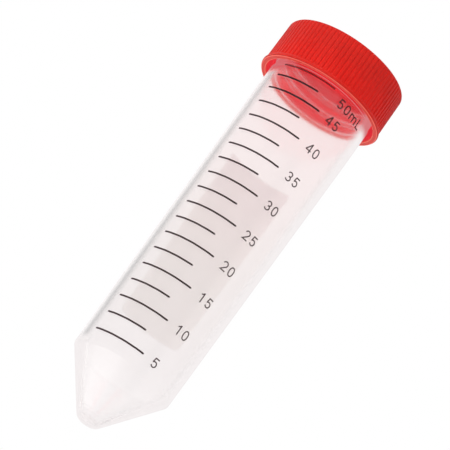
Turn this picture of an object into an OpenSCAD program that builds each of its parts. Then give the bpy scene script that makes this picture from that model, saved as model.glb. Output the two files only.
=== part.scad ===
// Conical-bottom 50 mL screw-cap test tube (centrifuge tube).
// Millimetres. +Z runs along the tube's axis, from the tip to the cap.
// The origin is the lowest point of the conical tip, on the axis.
// The printed scale faces -Y, the writing panel faces +Y.
// Angles round the tube start at -Y and grow towards +X.

/* [Tube] */
// Outside diameter where the conical end meets the body
body_bottom_d = 27.46; // [27:0.02:27.9]
// Outside diameter of the straight band under the cap
band_d = 29.3; // [29:0.02:29.6]
// Wall thickness of the moulded tube
wall = 1.22; // [1:0.01:1.3]
// Height of the conical end
cone_h = 15; // [14:0.1:16]
// Height of the cap's rim above the tip
rim_z = 101.8; // [101.6:0.1:106]
// Length of the straight band under the cap's rim
band_h = 10; // [6:0.5:12]
// Distance from the cap's rim to the tube's lip
neck_h = 10.2; // [9.9:0.1:12]

/* [Thread] */
// Rise of the thread in one turn
pitch = 3.2; // [2.8:0.1:3.4]
// Number of turns of thread on the neck
turns = 1.6; // [1:0.1:1.7]
// How far the neck's thread stands out of the neck
thread_h = 0.9; // [0.7:0.05:0.9]

/* [Cap] */
// Outside diameter of the cap over its ribs, near the rim
cap_d = 34.2; // [33.8:0.1:35]
// Thickness of the cap's flat top
cap_top_t = 1.6; // [1.2:0.1:2]
// Number of grip ribs round the cap
ribs = 82; // [60:1:96]
// Depth of the grooves between the ribs at the rim end
rib_depth = 0.35; // [0.2:0.05:0.5]
// Radius of the cap's rounded top edge
cap_edge_r = 0.8; // [0.6:0.1:1.6]
// Thickness of the sealing disc inside the cap
seal_t = 0.72; // [0.5:0.01:0.74]

/* [Printed scale] */
// Thickness of the printed ink
ink_t = 0.04; // [0.02:0.01:0.05]
// Width of a printed line
line_w = 0.46; // [0.25:0.01:0.6]
// Where the lines start, in degrees round the tube from the middle of the front
line_from = -55.6; // [-70:0.1:-40]
// Where the long lines end
long_to = 6.3; // [2:0.1:8]
// Where the short lines end
short_to = -5.5; // [-20:0.1:0]
// Level of the 5 mL line, where the volume scale starts
mark5_z = 18.75; // [18:0.05:20]
// How far the 50 mL line is printed below its true level, to clear the cap
top_squeeze = 1.5; // [1:0.05:2.5]
// Height of the printed numerals
num_h = 2.62; // [2:0.02:3]
// Where the numerals start, in millimetres round the tube from the middle of the front
num_x = 4.15; // [3:0.05:6]
// How far the 50 mL numeral sits below its line
num50_drop = 2; // [1.5:0.1:2.2]

/* [Writing panel] */
// Bottom edge of the panel
panel_z0 = 30.6; // [24:0.1:40]
// Top edge of the panel
panel_z1 = 80.7; // [60:0.1:90]
// Width of the panel, in degrees round the tube
panel_a = 82.3; // [40:0.1:120]
// Middle of the panel, in degrees round the tube from the middle of the front
panel_mid = 183.3; // [170:0.1:200]

/* [Hidden] */
$fn = 96;

// Tube
cone_top_r = body_bottom_d / 2;       // outer radius at the top of the cone
band_r = band_d / 2;                  // outer radius of the straight band
band_z = rim_z - band_h;              // where the taper ends and the band begins
taper = (band_r - cone_top_r) / (band_z - cone_h);   // radius gained per mm of body
lip_z = rim_z + neck_h;               // top of the tube's lip
neck_step = 0.3;                      // step in from the band to the neck
neck_r = band_r - neck_step;          // outer radius of the threaded neck
tip_r = 3.75;                         // outer radius of the cone just above the tip
tip_h = 1.6;                          // height of that point on the cone
half_angle = atan((cone_top_r - tip_r) / (cone_h - tip_h));   // half angle of the cone
cone_slope = tan(half_angle);         // radius gained per mm of cone

// Thread
thread_z = rim_z + 2.6;               // middle of the neck thread's lower end
thread_bury = 0.35;                   // how deep a thread's root lies in its wall
root_w = 1.5;                         // height of the thread's section at its root
crest_w = 0.75;                       // and at its crest
turn_steps = 30;                      // steps in one turn of thread
fade_steps = 4;                       // steps over which each end fades out
end_share = 0.15;                     // share of the full depth left at the ends

// Cap
ceiling_z = lip_z + 0.8;              // underside of the cap's top
cap_top_z = ceiling_z + cap_top_t;    // flat top of the cap
skirt_r = neck_r + thread_h + 0.4;    // inside radius of the cap's skirt
crest_r = cap_d / 2;                  // rib crest radius near the rim
groove_r = crest_r - rib_depth;       // radius of the groove floors

// Print
ink_gap = 0.003;                      // ink stands off the wall, so that they share no face
pen = num_h * 0.122;                  // stroke width of the characters
digit_w = num_h * 0.635;              // width of a digit
mid_x = digit_w / 2;                  // middle of a digit
reach_x = (digit_w - pen) / 2;        // half width of the pen's path
stem_gap = num_h * 0.46;              // spacing of the three stems of the m
small_h = num_h * 0.72;               // height of the m
char_gap = num_h * 0.26;              // space between characters

// ---- shared rules -------------------------------------------------------

// Outer and inner radius of the body at height z
function outer_r(z) = z >= band_z ? band_r : cone_top_r + taper * (z - cone_h);
function inner_r(z) = outer_r(z) - wall;

// Level of the liquid's surface for a volume in mL, from the 5 mL line up:
// the bore is a slender cone, so the cube of its radius grows with the volume
function level(volume) =
    let(start_r = inner_r(mark5_z),
        added = (volume - 5) * 1000,  // cubic millimetres
        surface_r = pow(pow(start_r, 3) + 3 * taper * added / PI, 1 / 3))
    mark5_z + (surface_r - start_r) / taper;
// Level of the printed line: true up to 45 mL, then drawn in under the cap
function mark(volume) =
    level(volume) - (volume > 45 ? top_squeeze * pow((volume - 45) / 5, 2) : 0);

// Points along an ellipse arc, from one angle to another
function arc(x, y, radius_x, radius_y, from, to, steps) =
    [for (i = [0:steps]) let(angle = from + (to - from) * i / steps)
        [x + radius_x * cos(angle), y + radius_y * sin(angle)]];

// A helical ridge of trapezoidal section that fades out at both ends.
// It stands out of its root if ridge_r is the larger radius, and in if it is the smaller.
module helix(root_r, ridge_r, start_z) {
    steps = round(turns * turn_steps);
    function fade(i) = min(1, i / fade_steps, (steps - i) / fade_steps);
    points = [for (i = [0:steps])
        let(angle = i * 360 / turn_steps,
            around = [cos(angle), sin(angle)],
            z = start_z + pitch * i / turn_steps,
            r = root_r + (ridge_r - root_r) * (end_share + (1 - end_share) * fade(i)))
        each [[root_r * around.x, root_r * around.y, z - root_w / 2],
              [r * around.x, r * around.y, z - crest_w / 2],
              [r * around.x, r * around.y, z + crest_w / 2],
              [root_r * around.x, root_r * around.y, z + root_w / 2]]];
    // Two triangles for each four-sided face, wound to face outwards
    function quad(a, b, c, d) = ridge_r > root_r ? [[a, b, c], [a, c, d]]
        : [[a, c, b], [a, d, c]];
    last = 4 * steps;
    faces = concat(
        [for (i = [0:steps - 1]) for (j = [0:3])
            let(here = 4 * i + j, beside = 4 * i + (j + 1) % 4)
            each quad(here, beside, beside + 4, here + 4)],
        quad(0, 3, 2, 1),
        quad(last, last + 1, last + 2, last + 3));
    polyhedron(points, faces);
}

// ---- printed ink --------------------------------------------------------

// Section of a thin skin of ink on the outside of the wall, from z0 to z1
module ink_section(z0, z1) {
    crosses = z0 < band_z && z1 > band_z;
    polygon(concat(
        [for (z = crosses ? [z0, band_z, z1] : [z0, z1]) [outer_r(z) + ink_t, z]],
        [for (z = crosses ? [z1, band_z, z0] : [z1, z0]) [outer_r(z) + ink_gap, z]]));
}

// A patch of ink between two heights and two angles
module ink_patch(z0, z1, from, to) {
    rotate([0, 0, from - 90])
        rotate_extrude(angle = to - from)
            ink_section(z0, z1);
}

// Lines for a range of volumes, all ending at the same angle
module scale_lines(volumes, to) {
    for (volume = volumes)
        ink_patch(mark(volume) - line_w / 2, mark(volume) + line_w / 2, line_from, to);
}

// Direction of a pen path at its point i
function unit(v) = v / norm(v);
function direction(path, i) = unit(
    (i < len(path) - 1 ? unit(path[i + 1] - path[i]) : [0, 0])
    + (i > 0 ? unit(path[i] - path[i - 1]) : [0, 0]));
// How much a corner widens, so that a bent stroke keeps its width
function miter(path, i) = (i == 0 || i == len(path) - 1) ? 1
    : 1 / max(0.35, direction(path, i) * unit(path[i + 1] - path[i]));
// One edge of a stroke: side is 1 for left of the path, -1 for right
function stroke_edge(path, order, side) =
    [for (i = order) let(along = direction(path, i))
        path[i] + side * [-along.y, along.x] * pen * miter(path, i) / 2];

// One pen stroke of even width along a path
module stroke(path) {
    last = len(path) - 1;
    polygon(concat(stroke_edge(path, [0:last], 1), stroke_edge(path, [last:-1:0], -1)));
}

// Outline of the 0, grown from the pen's path: flatter at its sides than an ellipse
function oval(grow) = let(points = 28, power = 0.86)
    [for (i = [0:points - 1]) let(c = cos(i * 360 / points), s = sin(i * 360 / points))
        [mid_x + (reach_x + grow) * sign(c) * pow(abs(c), power),
         num_h / 2 + ((num_h - pen) / 2 + grow) * sign(s) * pow(abs(s), power)]];

// One arch of the m with the stem on its right, springing from the stem at x
function arch(x) = let(radius = stem_gap / 2, rise = radius * 0.9)
    concat(arc(x + radius, small_h - pen / 2 - rise, radius, rise, 150, 0, 6),
           [[x + stem_gap, 0]]);

// Pen paths of each character but the 0, as shares of its height and width
bowl_r = (num_h / 2 - pen / 2) / 2 + pen * 0.08;   // half height of each bowl of the 3
function pen_paths(char) =
    char == "1" ? [
        [[digit_w * 0.6, 0], [digit_w * 0.6, num_h]],
        [[digit_w * 0.16, num_h * 0.74], [digit_w * 0.42, num_h * 0.82],
         [digit_w * 0.6, num_h * 0.97]]] :
    char == "2" ? [
        concat(arc(mid_x, num_h - pen / 2 - reach_x, reach_x, reach_x, 165, -38, 9),
               [[pen * 0.62, pen / 2], [digit_w, pen / 2]])] :
    char == "3" ? [
        arc(mid_x, num_h - pen / 2 - bowl_r, reach_x * 0.94, bowl_r, 158, -95, 10),
        arc(mid_x, pen / 2 + bowl_r, reach_x, bowl_r, 95, -158, 10)] :
    char == "4" ? [
        [[digit_w * 0.74, 0], [digit_w * 0.74, num_h]],
        [[digit_w * 0.72, num_h * 0.95], [pen * 0.45, num_h * 0.3]],
        [[0, num_h * 0.27], [digit_w, num_h * 0.27]]] :
    char == "5" ? [
        [[digit_w * 0.95, num_h - pen / 2], [digit_w * 0.27, num_h - pen / 2],
         [digit_w * 0.15, num_h * 0.5]],
        concat([[digit_w * 0.13, num_h * 0.49]],
               arc(mid_x, num_h * 0.335, reach_x, num_h * 0.335 - pen / 2, 128, -155, 11))] :
    char == "m" ? [
        [[pen / 2, 0], [pen / 2, small_h]],
        arch(pen / 2),
        arch(pen / 2 + stem_gap)] :
    char == "L" ? [
        [[pen / 2, num_h], [pen / 2, pen / 2], [digit_w * 0.92, pen / 2]]] :
    [];

module glyph(char) {
    if (char == "0")
        difference() {
            polygon(oval(pen / 2));
            polygon(oval(-pen / 2));
        }
    else
        for (path = pen_paths(char)) stroke(path);
}

// Width of a character, and where character i of a word starts
function char_w(char) = char == "m" ? 2 * stem_gap + pen
    : char == "L" ? digit_w * 0.92 : digit_w;
function char_x(word, i) = i == 0 ? 0
    : char_x(word, i - 1) + char_w(word[i - 1]) + char_gap;

// A word printed on the tube's wall, centred on height z:
// flat characters pushed through the wall, cut to the skin of ink
module printed(word, z) {
    push = 3;
    intersection() {
        union() for (i = [0:len(word) - 1])
            let(width = char_w(word[i]),
                angle = (num_x + char_x(word, i) + width / 2) / outer_r(z) * 180 / PI)
            rotate([0, 0, angle])
                translate([-width / 2, -outer_r(z) + push / 2, z - num_h / 2])
                    rotate([90, 0, 0])
                        linear_extrude(height = push) glyph(word[i]);
        rotate_extrude() ink_section(z - num_h, z + num_h);
    }
}

// ---- nodes --------------------------------------------------------------

// Centre radius of a rounding that meets the cone's side, where side_r is
// the side's radius at tip_h and base_z the lowest level of the rounding
function tip_centre_r(side_r, base_z, rounding) =
    side_r + cone_slope * (base_z + rounding * (1 - sin(half_angle)) - tip_h)
    - rounding * cos(half_angle);

// The moulded tube: conical end, slightly tapered body, straight band,
// threaded neck and bevelled lip, open at the top
module tube_body() {
    tip_outer = 3;                            // outside rounding of the tip
    tip_inner = 1.8;                          // inside rounding of the tip
    floor_z = 1.5;                            // floor of the bore
    level_wall = wall / cos(half_angle);      // the wall measured level through the cone
    bore_cone_z = cone_h + (level_wall - wall) / cone_slope;   // top of the bore's cone
    edge_below = 0.6;                         // the edge above the cone is eased from here
    edge_above = 0.5;                         // up to here
    bore_edge = 0.6;                          // the bore's edge is eased up to here
    lip_in = 0.2;                             // width of the lip's bevels
    lip_down = 0.3;                           // height of the lip's bevels
    bore_r = band_r - wall;                   // bore in the band and neck
    color([0.93, 0.93, 0.93, 0.55]) union() {
        rotate_extrude() polygon(concat(
            // outside, from the axis up
            [[0, 0]],
            arc(tip_centre_r(tip_r, 0, tip_outer), tip_outer,
                tip_outer, tip_outer, -90, -half_angle, 7),
            [[cone_top_r - edge_below * cone_slope - 0.05, cone_h - edge_below],
             [cone_top_r - 0.17, cone_h - 0.12],
             [outer_r(cone_h + edge_above), cone_h + edge_above],
             [band_r, band_z], [band_r, rim_z],
             [neck_r, rim_z + neck_step],
             [neck_r, lip_z - lip_down], [neck_r - lip_in, lip_z]],
            // inside, from the lip down
            [[bore_r + lip_in, lip_z], [bore_r, lip_z - lip_down],
             [bore_r, band_z],
             [inner_r(bore_cone_z + bore_edge), bore_cone_z + bore_edge],
             [inner_r(bore_cone_z) - 0.35, bore_cone_z - 0.3]],
            arc(tip_centre_r(tip_r - level_wall, floor_z, tip_inner), floor_z + tip_inner,
                tip_inner, tip_inner, -half_angle, -90, 5),
            [[0, floor_z]]));
        helix(neck_r - thread_bury, neck_r + thread_h, thread_z);
    }
}

// Outline of the ribbed grip; the ribs reach past their crest radius, to be trimmed
module rib_outline() {
    uncut_r = crest_r + 0.6;
    // One rib: offset from its middle as a share of the rib spacing, radius
    rib = [[-0.30, groove_r], [-0.17, uncut_r], [0.17, uncut_r], [0.30, groove_r]];
    polygon([for (i = [0:ribs - 1]) for (corner = rib)
        let(angle = (i + corner[0]) * 360 / ribs)
        corner[1] * [cos(angle), sin(angle)]]);
}

// The screw cap: flat top with a rounded edge, ribbed side, flared rim,
// internal thread, and a small bead that keeps the sealing disc in
module screw_cap() {
    ribs_z = rim_z + 1.15;            // where the ribs start
    overlap = 0.3;                    // how far the ribbed part runs down into the rim
    cut_below = 0.4;                  // the rib outline runs past the ribbed part
    cut_above = 0.6;                  // at both ends
    top_r = crest_r - 0.1;            // the side has a slight draft
    flare_r = crest_r + 0.35;         // widest radius of the rim
    mouth_r = crest_r - 1.1;          // inside radius at the rim
    bead_r = skirt_r - 0.6;           // inside radius of the bead
    seat_r = skirt_r - 0.05;          // inside radius above the bead
    color([0.85, 0.13, 0.1]) difference() {
        union() {
            intersection() {
                translate([0, 0, ribs_z - cut_below])
                    linear_extrude(height = cap_top_z - ribs_z + cut_below + cut_above)
                        rib_outline();
                rotate_extrude() polygon(concat(
                    [[0, ribs_z - overlap], [crest_r, ribs_z - overlap]],
                    arc(top_r - cap_edge_r, cap_top_z - cap_edge_r,
                        cap_edge_r, cap_edge_r, 0, 90, 8),
                    [[0, cap_top_z]]));
            }
            // flared rim below the ribs
            rotate_extrude() polygon([
                [0, rim_z], [crest_r + 0.1, rim_z],
                [flare_r, rim_z + 0.35], [flare_r, rim_z + 0.75],
                [crest_r - 0.05, ribs_z], [0, ribs_z]]);
        }
        difference() {
            // the cap's cavity, from below the rim up past the bead
            rotate_extrude() polygon([
                [0, rim_z - 1], [mouth_r, rim_z - 1],
                [mouth_r, rim_z + 0.15], [skirt_r, rim_z + 0.8],
                [skirt_r, ceiling_z - 1.55], [bead_r, ceiling_z - 1.25],
                [bead_r, ceiling_z - 0.95], [seat_r, ceiling_z - 0.85],
                [seat_r, ceiling_z], [0, ceiling_z]]);
            // the cap's thread, about half a turn's rise below the neck's
            helix(skirt_r + thread_bury, skirt_r - thread_h, thread_z - pitch / 2 + 0.15);
        }
    }
}

// The soft disc just above the tube's lip
module cap_seal() {
    lip_gap = 0.03;
    skirt_gap = 0.3;
    color([0.7, 0.12, 0.1])
        translate([0, 0, lip_z + lip_gap])
            cylinder(h = seal_t, r = skirt_r - skirt_gap);
}

// Long lines at every 5 mL
module scale_lines_major() {
    color([0.24, 0.2, 0.2]) scale_lines([5:5:50], long_to);
}

// Short lines half way between
module scale_lines_minor() {
    color([0.24, 0.2, 0.2]) scale_lines([7.5:5:47.5], short_to);
}

// The volume beside each long line; the top one names the unit
module scale_numerals() {
    color([0.3, 0.26, 0.26]) {
        for (volume = [5:5:45]) printed(str(volume), mark(volume));
        printed("50mL", mark(50) - num50_drop);
    }
}

// The matt patch for pen or pencil, on the side away from the scale
module writing_panel() {
    color([0.9, 0.89, 0.88])
        ink_patch(panel_z0, panel_z1, panel_mid - panel_a / 2, panel_mid + panel_a / 2);
}

tube_body();
screw_cap();
cap_seal();
scale_lines_major();
scale_lines_minor();
scale_numerals();
writing_panel();
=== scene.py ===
# A 50 ml conical tube with a printed scale, a writing panel and a ribbed red screw cap.
# It stands on its tip: the axis is Z, the tip is at z = 0 and the cap is at the top.
# Angles round the tube run from -Y (the front) towards +X. Sizes are in mm unless said otherwise.
import math

import bpy
from mathutils import Matrix, Vector


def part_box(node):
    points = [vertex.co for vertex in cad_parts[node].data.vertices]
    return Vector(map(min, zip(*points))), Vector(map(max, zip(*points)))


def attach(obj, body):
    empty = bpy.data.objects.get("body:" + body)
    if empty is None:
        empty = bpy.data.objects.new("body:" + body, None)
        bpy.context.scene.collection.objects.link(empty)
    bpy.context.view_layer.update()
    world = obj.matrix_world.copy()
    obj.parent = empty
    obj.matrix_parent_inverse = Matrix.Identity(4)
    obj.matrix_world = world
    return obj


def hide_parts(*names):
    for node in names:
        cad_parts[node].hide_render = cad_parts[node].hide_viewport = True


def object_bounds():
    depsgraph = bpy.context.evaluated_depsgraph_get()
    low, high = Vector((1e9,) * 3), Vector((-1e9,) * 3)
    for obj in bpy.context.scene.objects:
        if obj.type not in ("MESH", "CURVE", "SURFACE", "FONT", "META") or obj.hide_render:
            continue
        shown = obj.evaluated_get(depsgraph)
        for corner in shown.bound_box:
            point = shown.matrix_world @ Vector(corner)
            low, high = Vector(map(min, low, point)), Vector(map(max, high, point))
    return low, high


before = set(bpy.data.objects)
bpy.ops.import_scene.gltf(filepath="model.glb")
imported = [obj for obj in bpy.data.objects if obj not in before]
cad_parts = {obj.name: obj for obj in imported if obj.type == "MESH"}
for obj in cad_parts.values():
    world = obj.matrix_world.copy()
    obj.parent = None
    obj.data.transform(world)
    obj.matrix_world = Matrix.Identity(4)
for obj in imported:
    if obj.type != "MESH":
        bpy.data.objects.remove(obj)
cad_lo, cad_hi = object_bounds()

MM = 0.001
TAU = 2 * math.pi

# Tube body
CONE_R, BODY_R = 13.73, 14.65           # outer radius at the top of the cone and in the band
WALL = 1.22
CONE_H, RIM_Z, BAND_H = 15.0, 101.8, 10.0
BAND_Z = RIM_Z - BAND_H                 # from here up the wall is straight
TAPER = (BODY_R - CONE_R) / (BAND_Z - CONE_H)
LIP_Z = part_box("tube_body")[1].z / MM
NECK_R = BODY_R - 0.3
BORE_R = BODY_R - WALL

# Tube tip
TIP_R, TIP_H = 3.75, 1.6                # a point on the outer cone, which sets its slope
TIP_ROUND_OUT, TIP_ROUND_IN = 3.0, 1.8
FLOOR_Z = 1.5                           # inner floor of the tip
HALF = math.atan((CONE_R - TIP_R) / (CONE_H - TIP_H))
SLOPE = math.tan(HALF)

# Thread
PITCH, TURNS, THREAD_H = 3.2, 1.6, 0.9
THREAD_HALF_FOOT, THREAD_HALF_CREST = 0.72, 0.34
THREAD_FADE = 0.7                       # radians over which each end runs out
THREAD_Z = RIM_Z + 2.6

# Cap
TOP_Z = cad_hi.z / MM
CEIL_Z = TOP_Z - 1.6
CREST_R, RIBS, RIB_DEPTH, EDGE_R = 17.1, 82, 0.3, 0.8
CREST_DRAFT = 0.1                       # how much narrower the ribs stand at the top
RIB_FOOT_Z = RIM_Z + 1.15
SKIRT_R = NECK_R + THREAD_H + 0.4

# Print
MARK_5_Z = 18.75                        # height of the 5 ml mark
LINE_W = 0.46
LINE_START, MAJOR_END, MINOR_END = -55.6, 6.3, -5.5     # degrees
PRINT_LIFTS = (0.004, 0.04)             # underside and face of the ink above the wall
PANEL_Z = (30.6, 80.7)
PANEL_MID, PANEL_HALF = 183.3, 41.15    # degrees
PANEL_EXTRA = 2.8                       # degrees the panel reaches further on its -X side
PANEL_CORNER = 0.9


def outer_r(z):
    """Outer radius of the body above the cone."""
    return BODY_R if z >= BAND_Z else CONE_R + (BODY_R - CONE_R) * (z - CONE_H) / (BAND_Z - CONE_H)


def inner_r(z):
    return outer_r(z) - WALL


def mark_z(volume):
    """Height of the mark for a volume in ml, from the volume of the tapered bore."""
    start_r = inner_r(MARK_5_Z)
    added = 3 * TAPER * (volume - 5) * 1000 / math.pi
    level = MARK_5_Z + ((start_r ** 3 + added) ** (1 / 3) - start_r) / TAPER
    # the marks above 45 ml are set lower than the level
    return level - (1.5 * ((volume - 45) / 5) ** 2 if volume > 45 else 0)


def ease(start, end, x):
    """Smooth step from 0 at start to 1 at end."""
    t = min(1.0, max(0.0, (x - start) / (end - start)))
    return t * t * (3 - 2 * t)


# ---------------------------------------------------------------- mesh helpers
def add_object(name, data):
    ob = bpy.data.objects.new(name, data)
    bpy.context.scene.collection.objects.link(ob)
    return ob


def new_mesh(name, verts, faces, smooth_shade):
    mesh = bpy.data.meshes.new(name)
    mesh.from_pydata([Vector(v) * MM for v in verts], [], faces)
    mesh.validate()
    if smooth_shade:
        mesh.polygons.foreach_set("use_smooth", [True] * len(mesh.polygons))
    mesh.update()
    return add_object(name, mesh)


def rounded(points, steps=6):
    """Round the corners of a polyline of (r, z, fillet radius), with support points beside them."""
    out = []
    for i, (r, z, fillet) in enumerate(points):
        if fillet <= 0 or i in (0, len(points) - 1):
            out.append((r, z))
            continue
        corner = Vector((r, z))
        back = Vector(points[i - 1][:2]) - corner
        ahead = Vector(points[i + 1][:2]) - corner
        back_len, ahead_len = back.length, ahead.length
        back.normalize()
        ahead.normalize()
        opening = back.angle(ahead)
        cut = min(fillet / math.tan(opening / 2), back_len * 0.49, ahead_len * 0.49)
        fillet = cut * math.tan(opening / 2)
        centre = corner + (back + ahead).normalized() * (fillet / math.sin(opening / 2))
        start, end = corner + back * cut, corner + ahead * cut
        first = math.atan2(start.y - centre.y, start.x - centre.x)
        last = math.atan2(end.y - centre.y, end.x - centre.x)
        sweep = (last - first + math.pi) % TAU - math.pi
        if back_len - cut > 0.3:
            support = start + back * 0.12
            out.append((support.x, support.y))
        for k in range(steps + 1):
            angle = first + sweep * k / steps
            out.append((centre.x + fillet * math.cos(angle), centre.y + fillet * math.sin(angle)))
        if ahead_len - cut > 0.3:
            support = end + ahead * 0.12
            out.append((support.x, support.y))
    return out


def dense(points, step):
    """Split the long segments of an (r, z) polyline to about one step each."""
    out = [points[0]]
    for (r0, z0), (r1, z1) in zip(points[:-1], points[1:]):
        n = max(1, int(math.hypot(r1 - r0, z1 - z0) / step + 0.5))
        for k in range(1, n + 1):
            out.append((r0 + (r1 - r0) * k / n, z0 + (z1 - z0) * k / n))
    return out


def even_angles(count):
    return [TAU * k / count for k in range(count)]


def lathe(name, rows, angles):
    """Turn rows, from axis to axis, into a closed body with a column at each angle.

    A row is an (r, z) pair or a function of the angle that gives one; a pair with r 0 is a pole.
    """
    verts, faces, prev = [], [], None
    n = len(angles)
    for row in rows:
        if not callable(row) and row[0] == 0:
            ids = [len(verts)]
            verts.append((0, 0, row[1]))
        else:
            ids = list(range(len(verts), len(verts) + n))
            for angle in angles:
                r, z = row(angle) if callable(row) else row
                verts.append((r * math.sin(angle), -r * math.cos(angle), z))
        if prev is not None:
            for k in range(n):
                k2 = (k + 1) % n
                if len(prev) == 1 and len(ids) > 1:
                    faces.append((prev[0], ids[k2], ids[k]))
                elif len(ids) == 1 and len(prev) > 1:
                    faces.append((prev[k], prev[k2], ids[0]))
                elif len(ids) > 1:
                    faces.append((prev[k], prev[k2], ids[k2], ids[k]))
        prev = ids
    return new_mesh(name, verts, faces, smooth_shade=True)


def thread_ridge(angle, z, start_z):
    """How far the helical thread stands up, 0 to 1. It starts on +X at start_z."""
    best = 0.0
    from_x = (angle - math.pi / 2) % TAU
    for k in range(int(TURNS) + 2):
        along = from_x + k * TAU
        if along > TURNS * TAU:
            break
        off = abs(z - (start_z + PITCH * along / TAU))
        height = 1 - ease(THREAD_HALF_CREST, THREAD_HALF_FOOT, off)
        fade = ease(0, THREAD_FADE, along) * ease(0, THREAD_FADE, TURNS * TAU - along)
        best = max(best, height * fade)
    return best


def thread_rows(radius, height, start_z, z, top, step):
    """Lathe rows from z up to top; a negative height points the thread at the axis."""
    rows = []
    while z < top:
        def row(angle, z=z):
            return radius + height * thread_ridge(angle, z, start_z), z
        rows.append(row)
        z += step
    return rows


# ---------------------------------------------------------------- tube, cap and seal
def tip_centre_r(radius, base_z, rounding):
    """Radius of the centre of a rounding that joins a level base to the cone."""
    return (radius + SLOPE * (base_z + rounding * (1 - math.sin(HALF)) - TIP_H)
            - rounding * math.cos(HALF))


def build_tube():
    level_wall = WALL / math.cos(HALF)      # thickness of the cone's wall, measured level
    bend_z = CONE_H + (level_wall - WALL) / SLOPE
    out_r = tip_centre_r(TIP_R, 0, TIP_ROUND_OUT)
    in_r = tip_centre_r(TIP_R - level_wall, FLOOR_Z, TIP_ROUND_IN)
    arc = math.pi / 2 - HALF

    outer = [(0, 0)]
    outer += [(out_r * k / 3, 0) for k in (1, 2)]
    outer += [(out_r + TIP_ROUND_OUT * math.cos(t), TIP_ROUND_OUT + TIP_ROUND_OUT * math.sin(t))
              for t in [(-math.pi / 2) + arc * k / 14 for k in range(15)]]
    side = rounded([(*outer[-1], 0), (CONE_R, CONE_H, 1.1), (BODY_R, BAND_Z, 0),
                    (BODY_R, RIM_Z, 0.1), (NECK_R, RIM_Z + 0.3, 0.15),
                    (NECK_R, RIM_Z + 1.0, 0)], steps=7)
    outer += dense(side, 3.0)[1:]
    neck = thread_rows(NECK_R, THREAD_H, THREAD_Z, z=RIM_Z + 1.12, top=LIP_Z - 0.7, step=0.12)
    lip = rounded([(NECK_R, LIP_Z - 0.6, 0), (NECK_R, LIP_Z, 0.45), (BORE_R, LIP_Z, 0.45),
                   (BORE_R, LIP_Z - 2, 0)])
    inner = dense(rounded([(BORE_R, LIP_Z - 2.2, 0), (BORE_R, BAND_Z, 0),
                           (inner_r(bend_z), bend_z, 2.5),
                           (in_r + TIP_ROUND_IN * math.cos(HALF),
                            FLOOR_Z + TIP_ROUND_IN * (1 - math.sin(HALF)), 0)]), 3.0)
    tip = [(in_r + TIP_ROUND_IN * math.cos(t),
            FLOOR_Z + TIP_ROUND_IN + TIP_ROUND_IN * math.sin(t))
           for t in [-HALF - arc * k / 10 for k in range(1, 11)]]
    tip += [(in_r * 0.5, FLOOR_Z), (0, FLOOR_Z)]
    return lathe("tube_body_moulded", outer + neck + lip + inner + tip, even_angles(288))


# Columns within one rib, as shares of its width; 0 is the middle of a groove
RIB_COLUMNS = (0.0, 0.09, 0.17, 0.24, 0.30, 0.38, 0.5, 0.62, 0.70, 0.76, 0.83, 0.91)


def ribbed_row(r, z, depth, fade=1.0):
    """A lathe row at radius r with the grooves of the cap cut into it."""
    rib_angle = TAU / RIBS

    def row(angle):
        share = (angle / rib_angle) % 1.0
        off = min(share, 1 - share)             # 0 in the middle of a groove, 0.5 on a crest
        groove = 1 - ease(0.14, 0.30, off)
        return r - depth * groove * fade, z
    return row


def build_cap():
    rib_angle = TAU / RIBS
    angles = [(i + share) * rib_angle for i in range(RIBS) for share in RIB_COLUMNS]
    top_r = CREST_R - CREST_DRAFT
    groove_r = CREST_R - RIB_DEPTH
    rib_end = RIB_FOOT_Z + 0.35

    # shallow dimple in the middle of the flat top
    rows = [(0, TOP_Z - 0.16), (0.45, TOP_Z - 0.16), (0.6, TOP_Z - 0.13),
            (0.72, TOP_Z - 0.02), (0.85, TOP_Z)]
    rows += [(r, TOP_Z) for r in (3, 6, 9, 12, 14.2, 15.0, top_r - EDGE_R)]
    # rounded top edge, into which the grooves run out
    for k in range(1, 11):
        t = math.pi / 2 * k / 10
        r = top_r - EDGE_R + EDGE_R * math.sin(t)
        z = TOP_Z - EDGE_R + EDGE_R * math.cos(t)
        rows.append(ribbed_row(r, z, max(0.0, r - groove_r)))
    # ribbed side
    for k in range(1, 9):
        u = k / 8
        r = top_r + CREST_DRAFT * u
        z = TOP_Z - EDGE_R + (rib_end - TOP_Z + EDGE_R) * u
        rows.append(ribbed_row(r, z, r - groove_r))
    # the grooves end above the rim
    for k in range(1, 6):
        u = k / 5
        rows.append(ribbed_row(CREST_R, rib_end - 0.44 * u, RIB_DEPTH, fade=1 - ease(0, 1, u)))
    # flared rim and its underside: (r, z, fillet)
    rim = rounded([(CREST_R, RIB_FOOT_Z - 0.09, 0), (CREST_R + 0.02, RIB_FOOT_Z - 0.16, 0.2),
                   (CREST_R + 0.35, RIM_Z + 0.72, 0.3), (CREST_R + 0.35, RIM_Z + 0.35, 0.3),
                   (CREST_R + 0.1, RIM_Z, 0.2), (CREST_R - 1.1, RIM_Z, 0.25),
                   (CREST_R - 1.1, RIM_Z + 0.3, 0.2), (SKIRT_R, RIM_Z + 0.9, 0.2),
                   (SKIRT_R, RIM_Z + 1.25, 0)], steps=5)
    rows += rim[1:]
    rows += thread_rows(SKIRT_R, -THREAD_H, THREAD_Z - PITCH / 2 + 0.15,
                        z=RIM_Z + 1.37, top=CEIL_Z - 1.7, step=0.14)
    # small bead inside, under the ceiling
    rows += rounded([(SKIRT_R, CEIL_Z - 1.6, 0), (SKIRT_R - 0.6, CEIL_Z - 1.25, 0.15),
                     (SKIRT_R - 0.6, CEIL_Z - 0.95, 0.12), (SKIRT_R - 0.05, CEIL_Z - 0.85, 0.05),
                     (SKIRT_R - 0.05, CEIL_Z, 0.1), (12, CEIL_Z, 0)], steps=4)
    rows += [(8, CEIL_Z), (4, CEIL_Z), (0, CEIL_Z)]
    return lathe("screw_cap_moulded", rows, angles)


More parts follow.
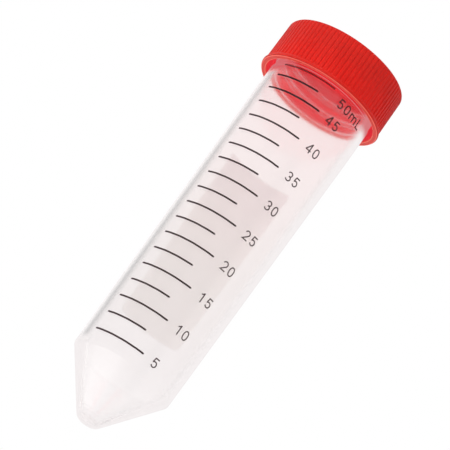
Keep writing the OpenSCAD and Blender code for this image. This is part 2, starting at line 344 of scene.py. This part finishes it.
def build_seal():
    low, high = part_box("cap_seal")
    r, bottom, top = high.x / MM, low.z / MM, high.z / MM
    rows = [(x, bottom) for x in (0, 4, 8, 11, 12.8)]
    rows += rounded([(13.0, bottom, 0), (13.5, bottom + 0.05, 0.2), (14.5, bottom + 0.05, 0.2),
                     (r, bottom, 0.18), (r, top, 0.18), (12, top, 0)], steps=4)
    rows += [(6, top), (0, top)]
    return lathe("cap_seal_disc", rows, even_angles(128))


# ---------------------------------------------------------------- print
def build_print(name, plates):
    """Closed plates of ink on the wall. A plate is a grid: rows of (angle, z), all of one length."""
    verts, faces = [], []
    for plate in plates:
        base = len(verts)
        nr, nc = len(plate), len(plate[0])
        for lift in PRINT_LIFTS:
            for row in plate:
                for angle, z in row:
                    r = outer_r(z) + lift
                    verts.append((r * math.sin(angle), -r * math.cos(angle), z))

        def idx(layer, i, j):
            return base + layer * nr * nc + i * nc + j

        for i in range(nr - 1):
            for j in range(nc - 1):
                faces.append((idx(1, i, j), idx(1, i, j + 1), idx(1, i + 1, j + 1),
                              idx(1, i + 1, j)))
                faces.append((idx(0, i, j), idx(0, i + 1, j), idx(0, i + 1, j + 1),
                              idx(0, i, j + 1)))
        m, n = nr - 1, nc - 1
        for j in range(n):
            faces.append((idx(0, 0, j), idx(0, 0, j + 1), idx(1, 0, j + 1), idx(1, 0, j)))
            faces.append((idx(0, m, j + 1), idx(0, m, j), idx(1, m, j), idx(1, m, j + 1)))
        for i in range(m):
            faces.append((idx(0, i + 1, 0), idx(0, i, 0), idx(1, i, 0), idx(1, i + 1, 0)))
            faces.append((idx(0, i, n), idx(0, i + 1, n), idx(1, i + 1, n), idx(1, i, n)))
    return new_mesh(name, verts, faces, smooth_shade=False)


def line_plate(volume, start, end):
    """A scale line with rounded ends and slightly wavy edges, rows from bottom to top."""
    z = mark_z(volume)
    r = outer_r(z)
    columns = 40
    plate = []
    for i in range(7):
        y = -1 + 2 * i / 6
        back = (LINE_W / 2) * (1 - math.sqrt(max(0.0, 1 - y * y))) / r
        row = []
        for j in range(columns + 1):
            angle = start + back + (end - start - 2 * back) * j / columns
            wave = (0.012 * math.sin(23 * angle + volume * 1.7)
                    + 0.008 * math.sin(61 * angle + volume))
            row.append((angle, z + y * (LINE_W / 2) + wave * abs(y)))
        plate.append(row)
    return plate


def build_lines(name, volumes, end):
    start, end = math.radians(LINE_START), math.radians(end)
    return build_print(name, [line_plate(volume, start, end) for volume in volumes])


def build_panel():
    low, high = PANEL_Z
    start = math.radians(PANEL_MID - PANEL_HALF)
    end = math.radians(PANEL_MID + PANEL_HALF + PANEL_EXTRA)
    corner = PANEL_CORNER
    heights = [low + corner * (1 - math.cos(math.pi / 2 * k / 6)) for k in range(7)]
    heights += [low + corner + (high - low - 2 * corner) * k / 24 for k in range(1, 24)]
    heights += [high - corner * (1 - math.sin(math.pi / 2 * k / 6)) for k in range(7)]
    plate = []
    for z in heights:
        into = max(0.0, corner - (z - low), corner - (high - z))
        back = (corner - math.sqrt(max(0.0, corner * corner - into * into))) / outer_r(z)
        plate.append([(start + back + (end - start - 2 * back) * j / 64, z) for j in range(65)])
    return build_print("writing_panel_print", [plate])


# ---------------------------------------------------------------- node helpers
class Net:
    """The node tree of a material or world, with short ways to add nodes."""

    def __init__(self, owner, output="OutputMaterial"):
        owner.use_nodes = True
        self.owner = owner
        self.tree = owner.node_tree
        self.tree.nodes.clear()
        self.output = self.add(output)

    def put(self, socket, value):
        """Link a socket, or set a plain value; colours may leave out their alpha of 1."""
        if isinstance(value, bpy.types.NodeSocket):
            self.tree.links.new(value, socket)
        elif socket.type == "RGBA":
            socket.default_value = (*value[:3], 1)
        else:
            socket.default_value = value

    def add(self, kind, inputs=None, **settings):
        node = self.tree.nodes.new("ShaderNode" + kind)
        for key, value in settings.items():
            setattr(node, key, value)
        for key, value in (inputs or {}).items():
            self.put(node.inputs[key], value)
        return node

    def first(self, kind, inputs=None, **settings):
        """Add a node and give its first output."""
        return self.add(kind, inputs, **settings).outputs[0]

    def surface(self, shader):
        self.put(self.output.inputs["Surface"], shader)
        return self.owner

    def math(self, operation, *values, clamp=False):
        if len(values) == 1:
            values = (values[0], 0.0)
        return self.first("Math", dict(enumerate(values)), operation=operation, use_clamp=clamp)

    def chain(self, operation, values):
        total = values[0]
        for value in values[1:]:
            total = self.math(operation, total, value)
        return total

    def times(self, *values):
        return self.chain("MULTIPLY", values)

    def largest(self, *values):
        return self.chain("MAXIMUM", values)

    def linear(self, value, gain, base):
        return self.math("MULTIPLY_ADD", value, gain, base)

    def rise(self, value, start, end):
        """Smooth step from 0 at start to 1 at end."""
        inputs = {"From Min": start, "From Max": end, "Value": value}
        return self.add("MapRange", inputs, interpolation_type="SMOOTHSTEP").outputs["Result"]

    def fall(self, value, start, end):
        return self.math("SUBTRACT", 1.0, self.rise(value, start, end))

    def near(self, value, centre, start, end):
        """1 within start of the centre, 0 beyond end."""
        off = self.math("ABSOLUTE", self.math("SUBTRACT", value, centre))
        return self.fall(off, start, end)

    def window(self, value, low, low_full, high_full, high):
        """0 below low, 1 between the full ends, 0 above high."""
        return self.times(self.rise(value, low, low_full), self.rise(value, high, high_full))

    def ramp(self, factor, stops):
        """A colour ramp; stops are (position, colour)."""
        node = self.add("ValToRGB", {0: factor})
        elements = node.color_ramp.elements
        while len(elements) > 1:
            elements.remove(elements[-1])
        elements[0].position = stops[0][0]
        elements[0].color = (*stops[0][1], 1)
        for place, colour in stops[1:]:
            elements.new(place).color = (*colour, 1)
        return node.outputs[0]

    def scale(self, vector, factor):
        return self.first("VectorMath", {0: vector, "Scale": factor}, operation="SCALE")

    def position(self):
        """Object-space position in millimetres."""
        return self.scale(self.add("TexCoord").outputs["Object"], 1000.0)

    def axes(self, vector):
        return tuple(self.add("SeparateXYZ", {"Vector": vector}).outputs)

    def noise(self, vector, scale=1.0, detail=3.0, rough=0.5, squeeze=None):
        if squeeze:
            vector = self.first("Mapping", {"Vector": vector, "Scale": squeeze})
        inputs = {"Scale": scale, "Detail": detail, "Roughness": rough, "Vector": vector}
        return self.add("TexNoise", inputs).outputs["Fac"]

    def bump(self, height, strength, distance):
        """A bump normal; distance is in metres."""
        return self.first("Bump", {"Strength": strength, "Distance": distance, "Height": height})

    def edge_on(self, blend):
        """0 where the surface faces the viewer, 1 where it is seen edge on."""
        return self.add("LayerWeight", {"Blend": blend}).outputs["Facing"]

    def emission(self, colour, strength=1.0):
        return self.first("Emission", {"Color": colour, "Strength": strength})

    def translucent(self, colour):
        return self.first("BsdfTranslucent", {"Color": colour})

    def mix(self, factor, one, two):
        return self.first("MixShader", {"Fac": factor, 1: one, 2: two})

    def join(self, one, two):
        return self.first("AddShader", {0: one, 1: two})

    def mix_colour(self, factor, one, two, **settings):
        return self.first("MixRGB", {"Fac": factor, "Color1": one, "Color2": two}, **settings)


def material_net(name):
    return Net(bpy.data.materials.new(name))


# ---------------------------------------------------------------- materials
# Tint of the wall by height, as a share of 112 mm: a faint tint of the plastic, with painted light:
# lighter on the cone, and pink light from the red cap, growing towards the neck under it
TUBE_TINT_AND_PAINTED_LIGHT = [(0.0, (0.985, 0.965, 0.965)), (0.11, (0.985, 0.965, 0.965)),
             (0.16, (0.955, 0.930, 0.930)), (0.45, (0.955, 0.925, 0.920)),
             (0.6, (0.97, 0.93, 0.925)), (0.8, (0.98, 0.92, 0.918)),
             (0.9, (0.985, 0.91, 0.908)), (0.906, (0.985, 0.90, 0.898)),
             (0.912, (0.99, 0.62, 0.645)), (1.0, (0.99, 0.55, 0.575))]
# Glow of the wall, from half turned away to edge on
TUBE_RIM_LIGHT = [(0.5, (0.900, 0.855, 0.855)), (0.8, (0.905, 0.862, 0.862)),
                  (0.95, (0.87, 0.832, 0.832)), (1.0, (0.83, 0.795, 0.795))]


def tube_body_shader(net, pos, z):
    """Rough clear plastic, with a faint, uneven painted glow standing in for the light its milkiness
    scatters.
    """
    tint_and_painted_light = net.ramp(net.math("DIVIDE", z, 112.0, clamp=True), TUBE_TINT_AND_PAINTED_LIGHT)
    fine = net.noise(pos, squeeze=(1.6, 1.6, 0.5))
    neck = net.times(net.rise(z, RIM_Z, RIM_Z + 2.0), 0.04)
    rough = net.math("ADD", net.linear(fine, gain=0.05, base=0.085), neck)
    clear = net.first("BsdfPrincipled", {"Base Color": tint_and_painted_light, "Roughness": rough, "IOR": 1.49,
                                         "Transmission Weight": 1.0})
    cloud = net.noise(pos, detail=2.0, squeeze=(0.06, 0.06, 0.02))
    painted_haze_glow = net.emission((1.0, 0.93, 0.93), net.linear(cloud, gain=0.004, base=0.002))
    return net.join(clear, painted_haze_glow)


def tube_plastic():
    net = material_net("translucent_polypropylene")
    pos = net.position()
    x, _, z = net.axes(pos)
    body = tube_body_shader(net, pos, z)
    ray = net.add("LightPath").outputs
    camera_ray = ray["Is Camera Ray"]
    edge_on = net.edge_on(0.5)

    # light caught inside the wall ends as an even glow of the plastic
    caught = net.math("GREATER_THAN", ray["Ray Depth"], 6.5)
    shader = net.mix(caught, body, net.emission((0.90, 0.84, 0.84)))

    # seen edge on the wall glows evenly, in a wider strip on the +X side and the cone
    cone = net.fall(z, CONE_H + 0.3, CONE_H + 2.5)
    wide_side = net.largest(net.rise(x, 4.0, 9.0), cone)
    thin = net.times(net.rise(edge_on, 0.76, 0.93), 0.9)
    wide = net.largest(net.times(net.rise(edge_on, 0.38, 0.66), 0.92, wide_side),
                       net.times(net.rise(edge_on, 0.34, 0.50), 0.9, cone))
    tip = net.times(net.fall(z, 1.4, 3.6), 0.75)
    graze = net.times(net.largest(thin, wide, tip), camera_ray)
    shader = net.mix(graze, shader, net.emission(net.ramp(edge_on, TUBE_RIM_LIGHT)))

    # near the cap that glow is painted pink, as light from the red cap
    pink_cap_glow = net.times(net.rise(z, RIM_Z - 3.4, RIM_Z - 0.6), net.rise(edge_on, 0.22, 0.62),
                      0.92, camera_ray)
    shader = net.mix(pink_cap_glow, shader, net.emission((0.66, 0.15, 0.165)))

    # light on its way to other surfaces goes straight through
    passing = net.largest(ray["Is Shadow Ray"], ray["Is Diffuse Ray"])
    clear = net.first("BsdfTransparent", {"Color": (0.96, 0.95, 0.95)})
    return net.surface(net.mix(passing, shader, clear))


def far_image(net, shader):
    """Reflected or refracted from over 55 mm away, the cap shows as a painted pale glow, for its red
    being lost in the milky plastic.
    """
    ray = net.add("LightPath").outputs
    bounced = net.largest(ray["Is Glossy Ray"], ray["Is Transmission Ray"])
    far = net.times(bounced, net.math("GREATER_THAN", ray["Ray Length"], 0.055))
    return net.mix(far, shader, net.emission((0.86, 0.83, 0.83)))


def rib_painted_shading(net, x, y, z):
    """Painted shading over the ribs: painted shade on the flanks, painted light on the groove
    floors, 1 elsewhere.
    """
    turn = net.times(net.math("ARCTAN2", x, net.times(y, -1.0)), RIBS / TAU)
    off = net.math("PINGPONG", turn, 0.5)       # 0 in a groove, 0.5 on a crest
    flank = net.near(off, 0.24, 0.03, 0.10)
    groove = net.fall(off, 0.08, 0.17)
    side = net.times(net.rise(z, RIM_Z + 1.0, RIM_Z + 1.5), net.fall(z, TOP_Z - 0.7, TOP_Z - 0.2))
    change = net.math("SUBTRACT", net.times(groove, 0.12), net.times(flank, 0.04))
    return net.math("ADD", net.times(change, side), 1.0)


def rim_glow(net, radius, z):
    """Glow of the rim's flat underside, brightest along its two edges."""
    under = net.fall(z, RIM_Z + 0.03, RIM_Z + 0.15)
    inner_edge = net.near(radius, CREST_R - 1.02, 0.06, 0.20)
    outer_edge = net.near(radius, CREST_R + 0.08, 0.05, 0.16)
    low = net.fall(z, RIM_Z + 0.08, RIM_Z + 0.2)
    edges = net.times(net.largest(inner_edge, net.times(outer_edge, 0.9)), low)
    return net.largest(net.times(under, 0.22), edges)


def cap_plastic():
    net = material_net("red_moulded_plastic")
    pos = net.position()
    x, y, z = net.axes(pos)
    rib_shading = rib_painted_shading(net, x, y, z)

    # surface: blotchy red with a fine grain, and painted shade where it turns away
    blot = net.noise(pos, detail=4.0, squeeze=(0.25, 0.25, 0.12))
    red = net.ramp(blot, [(0.3, (0.595, 0.025, 0.015)), (0.7, (0.67, 0.031, 0.019))])
    edge_painted_shade = net.times(net.math("POWER", net.edge_on(0.35), 3.0), 0.75)
    colour = net.mix_colour(edge_painted_shade, net.scale(red, rib_shading), (0.36, 0.005, 0.004))
    rough = net.linear(net.noise(pos, scale=9.0, rough=0.6), gain=0.10, base=0.33)
    normal = net.bump(net.noise(pos, scale=22.0, detail=2.0), strength=0.10, distance=0.00004)
    skin = net.first("BsdfPrincipled", {"Base Color": colour, "Roughness": rough, "IOR": 1.5,
                                        "Normal": normal, "Specular IOR Level": 0.4})

    # towards the cap's top the light through the wall is painted darker and less red, as painted
    # shade
    top_painted_shade = net.ramp(net.rise(z, RIM_Z + 3.0, RIM_Z + 10.0),
                     [(0.0, (0.905, 0.056, 0.046)), (1.0, (0.76, 0.070, 0.055))])
    through = net.translucent(net.scale(top_painted_shade, rib_shading))

    # the inside lets more light through than the thick ribbed side, and gets a painted glow for
    # light through the red plastic; the rim's underside gets painted highlights
    radius = net.math("SQRT", net.math("ADD", net.times(x, x), net.times(y, y)))
    outside = net.rise(radius, SKIRT_R + 0.25, SKIRT_R + 0.45)
    inside = net.math("SUBTRACT", 1.0, outside)
    rim = net.times(outside, rim_glow(net, radius, z))
    shader = net.mix(net.linear(inside, gain=0.3, base=0.5), skin, through)
    painted_glow_colour = net.mix_colour(inside, (0.34, 0.15, 0.11), (0.18, 0.024, 0.038))
    glow = net.emission(painted_glow_colour, net.largest(inside, rim))

    # painted shade: a thin dark line where the side turns away
    edge_shade_line = net.times(net.rise(net.edge_on(0.5), 0.72, 0.95), 0.5, outside)
    painted_shade_bsdf = net.first("BsdfDiffuse", {"Color": (0.26, 0.06, 0.055)})
    shader = net.join(net.mix(edge_shade_line, shader, painted_shade_bsdf), glow)
    return net.surface(far_image(net, shader))


def seal_rubber():
    net = material_net("red_elastomer")
    pos = net.position()
    colour = net.ramp(net.noise(pos, scale=0.8),
                      [(0.3, (0.62, 0.020, 0.022)), (0.7, (0.72, 0.030, 0.030))])
    grain = net.noise(pos, scale=12.0, rough=0.6)
    skin = net.first("BsdfPrincipled", {
        "Base Color": colour, "Roughness": net.linear(grain, gain=0.15, base=0.5),
        "Normal": net.bump(grain, strength=0.2, distance=0.00003)})
    shader = net.mix(0.4, skin, net.translucent((0.95, 0.06, 0.06)))
    # painted red glow, for light that comes through the cap
    shader = net.join(shader, net.emission((0.19, 0.014, 0.022)))
    return net.surface(far_image(net, shader))


def ink(name, dark, light, thin_above=None):
    """Blotchy dark ink; above the height thin_above it is printed thin."""
    net = material_net(name)
    pos = net.position()
    blot = net.noise(pos, scale=2.6, detail=4.0, rough=0.6)
    _, _, z = net.axes(pos)
    # close under the cap the ink is painted redder, as painted red light from the cap
    cap_light_painted = (0.62, 0.3, 0.3)
    plain = net.ramp(blot, [(0.35, dark), (0.75, light)])
    painted_cap_lit = net.ramp(blot, [(place, [a * b for a, b in zip(cap_light_painted, colour)])
                               for place, colour in ((0.35, dark), (0.75, light))])
    shader = net.first("BsdfPrincipled", {
        "Base Color": net.mix_colour(net.rise(z, 86.0, 95.0), plain, painted_cap_lit),
        "Roughness": net.linear(net.noise(pos, scale=6.0), gain=0.2, base=0.45),
        "Normal": net.bump(net.noise(pos, scale=14.0), strength=0.2, distance=0.00003),
        "Specular IOR Level": 0.2})
    if thin_above is not None:
        thin = net.times(net.math("GREATER_THAN", z, thin_above),
                         net.linear(blot, gain=0.3, base=0.40))
        shader = net.mix(thin, shader, net.first("BsdfTransparent"))
    return net.surface(shader)


def panel_ink():
    net = material_net("matt_writing_ink")
    pos = net.position()
    colour = net.ramp(net.noise(pos, scale=3.5, detail=5.0, rough=0.65),
                      [(0.3, (0.80, 0.785, 0.775)), (0.7, (0.87, 0.86, 0.85))])
    normal = net.bump(net.noise(pos, scale=12.0, detail=4.0), strength=0.3, distance=0.00004)
    skin = net.first("BsdfPrincipled",
                     {"Base Color": colour, "Roughness": 0.85, "Normal": normal})
    # towards the top the light through it is darker, and pinker as painted light from the red cap
    _, _, z = net.axes(pos)
    through = net.ramp(net.rise(z, 42.0, 82.0),
                       [(0.0, (0.995, 0.986, 0.980)), (0.5, (0.990, 0.970, 0.966)),
                        (1.0, (0.976, 0.948, 0.952))])
    return net.surface(net.mix(0.95, skin, net.translucent(through)))


# ---------------------------------------------------------------- assembly
def give(ob, material):
    ob.data.materials.clear()
    ob.data.materials.append(material)


def fit(ob, material, part, node):
    """Dress an object and let it ride on a part in place of a CAD node."""
    give(ob, material)
    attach(ob, part)
    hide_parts(node)


fit(build_tube(), tube_plastic(), "tube", "tube_body")
fit(build_cap(), cap_plastic(), "cap", "screw_cap")
fit(build_seal(), seal_rubber(), "seal", "cap_seal")

# the topmost line is printed thin, and the cap's red shows through it
scale_ink = ink("scale_ink", dark=(0.040, 0.023, 0.025), light=(0.058, 0.034, 0.037),
                thin_above=mark_z(50) - 0.6)
major = build_lines("scale_lines_major_print", [5 * k for k in range(1, 11)], MAJOR_END)
minor = build_lines("scale_lines_minor_print", [2.5 + 5 * k for k in range(1, 10)], MINOR_END)
fit(major, scale_ink, "tube", "scale_lines_major")
fit(minor, scale_ink, "tube", "scale_lines_minor")
give(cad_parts["scale_numerals"],
     ink("numeral_ink", dark=(0.095, 0.070, 0.070), light=(0.135, 0.105, 0.105)))
fit(build_panel(), panel_ink(), "tube", "writing_panel")


# ---------------------------------------------------------------- stage
def pale_floor():
    net = material_net("pale_floor")
    paper = net.first("BsdfDiffuse", {"Color": (0.86, 0.855, 0.85)})
    place = net.add("NewGeometry").outputs
    ray = net.add("LightPath").outputs
    # the sheet fades into the white backdrop, so no horizon shows; distances in metres
    reach = net.add("VectorMath", {0: place["Position"]}, operation="LENGTH").outputs["Value"]
    seen = net.times(net.rise(reach, 0.05, 0.45),
                     net.largest(ray["Is Camera Ray"], ray["Is Transmission Ray"]))
    sheet = net.mix(seen, paper, net.emission((0.97, 0.97, 0.965)))
    # it is clear from below and in mirror reflections
    mirror = net.times(ray["Is Glossy Ray"], ray["Is Reflection Ray"])
    clear = net.largest(place["Backfacing"], mirror)
    return net.surface(net.mix(clear, sheet, net.first("BsdfTransparent")))


def build_floor():
    half, z = 4.0, -0.0003      # metres
    mesh = bpy.data.meshes.new("studio_floor")
    corners = [(-half, -half, z), (half, -half, z), (half, half, z), (-half, half, z)]
    mesh.from_pydata(corners, [], [(0, 1, 2, 3)])
    floor = add_object("studio_floor", mesh)
    mesh.materials.append(pale_floor())


# Camera: it looks along +Y, tilted up, and is turned about its line of sight
VIEW_TILT = 0.31568520          # radians above level
VIEW_TURN = -0.94447143         # radians from the tube's axis, as seen, to the view's right
VIEW_DISTANCE = 651.92562
VIEW_RIGHT, VIEW_DOWN = 6.1159016, -9.8351343   # shift of the eye across the view
VIEW_TARGET = (0, 0, 48.8)
LENS, SENSOR = 213.632887, 36.0


def build_camera():
    """Add the camera and give its direction of view."""
    sin_tilt, cos_tilt = math.sin(VIEW_TILT), math.cos(VIEW_TILT)
    sin_turn, cos_turn = math.sin(VIEW_TURN), math.cos(VIEW_TURN)
    right = Vector((-sin_turn, -cos_turn * sin_tilt, cos_tilt * cos_turn))
    down = Vector((cos_turn, -sin_turn * sin_tilt, cos_tilt * sin_turn))
    forward = Vector((0, cos_tilt, sin_tilt))
    eye = (Vector(VIEW_TARGET) + right * VIEW_RIGHT + down * VIEW_DOWN
           - forward * VIEW_DISTANCE)
    data = bpy.data.cameras.new("camera")
    data.sensor_width = SENSOR
    data.lens = LENS
    data.clip_start, data.clip_end = 0.01, 20.0
    camera = add_object("camera", data)
    turn = Matrix((right, -down, -forward)).transposed()
    camera.matrix_world = Matrix.Translation(eye * MM) @ turn.to_4x4()
    bpy.context.scene.camera = camera
    return forward


def add_softbox(name, direction, size, power):
    """A lamp 0.8 m from the tube's middle that shapes the cap; the tube does not mirror it."""
    direction = Vector(direction).normalized()
    data = bpy.data.lights.new(name, "AREA")
    data.shape = "RECTANGLE"
    data.size, data.size_y = size
    data.energy = power
    lamp = add_object(name, data)
    lamp.location = Vector((0, 0, 0.055)) + direction * 0.8
    lamp.rotation_euler = (-direction).to_track_quat("-Z", "Y").to_euler()
    lamp.visible_glossy = False
    lamp.visible_transmission = False


def build_world(forward):
    """A white backdrop all round, which mirrors and the clear plastic see differently."""
    world = bpy.data.worlds.new("studio")
    bpy.context.scene.world = world
    net = Net(world, "OutputWorld")
    way = net.add("TexCoord").outputs["Generated"]
    x, _, z = net.axes(way)
    ray = net.add("LightPath").outputs

    # mirrors see it dim behind the camera, with soft light on the -X side, strongest low down
    ahead = net.add("VectorMath", {0: way, 1: forward}, operation="DOT_PRODUCT").outputs["Value"]
    backdrop = net.ramp(net.linear(ahead, gain=0.5, base=0.5),
                        [(0.0, (0.25, 0.25, 0.25)), (0.5, (0.55, 0.55, 0.55)),
                         (0.8, (0.9, 0.9, 0.9)), (1.0, (1.0, 1.0, 1.0))])
    low = net.math("LESS_THAN", z, -0.4)
    low_glow = net.times(net.window(x, -0.82, -0.76, -0.35, 0.05), low, 1.2)
    side_glow = net.times(net.window(x, -0.9, -0.6, -0.4, 0.0), 0.25)
    glossy = net.times(net.math("ADD", low_glow, side_glow), ray["Is Glossy Ray"])
    # diffuse light is a little stronger from +X
    diffuse = net.times(x, 0.06, ray["Is Diffuse Ray"])
    mirrored = net.mix_colour(1.0, backdrop, net.math("ADD", glossy, diffuse), blend_type="ADD")

    # through the tube it is white, with a grey edge on the -X side
    edge = net.linear(net.window(x, -0.80, -0.62, -0.42, -0.22), gain=-0.5, base=1.0)
    through = net.largest(ray["Is Transmission Ray"], 0.0)
    colour = net.mix_colour(through, mirrored, edge)
    colour = net.mix_colour(ray["Is Camera Ray"], colour, (1, 1, 1))
    net.surface(net.first("Background", {"Color": colour, "Strength": 1.0}))


build_floor()
view_direction = build_camera()
add_softbox("key_softbox", direction=(-0.62, -0.72, 0.30), size=(0.45, 0.60), power=3.6)
add_softbox("top_softbox", direction=(-0.2, -0.2, 1.0), size=(0.5, 0.5), power=2.0)
build_world(view_direction)

scene = bpy.context.scene
scene.cycles.max_bounces = 16
scene.cycles.diffuse_bounces = 8
scene.cycles.glossy_bounces = 16
scene.cycles.transmission_bounces = 16
scene.cycles.transparent_max_bounces = 16
scene.view_settings.view_transform = "Standard"
scene.view_settings.look = "None"
scene.view_settings.exposure = 0.0
scene.view_settings.gamma = 1.0
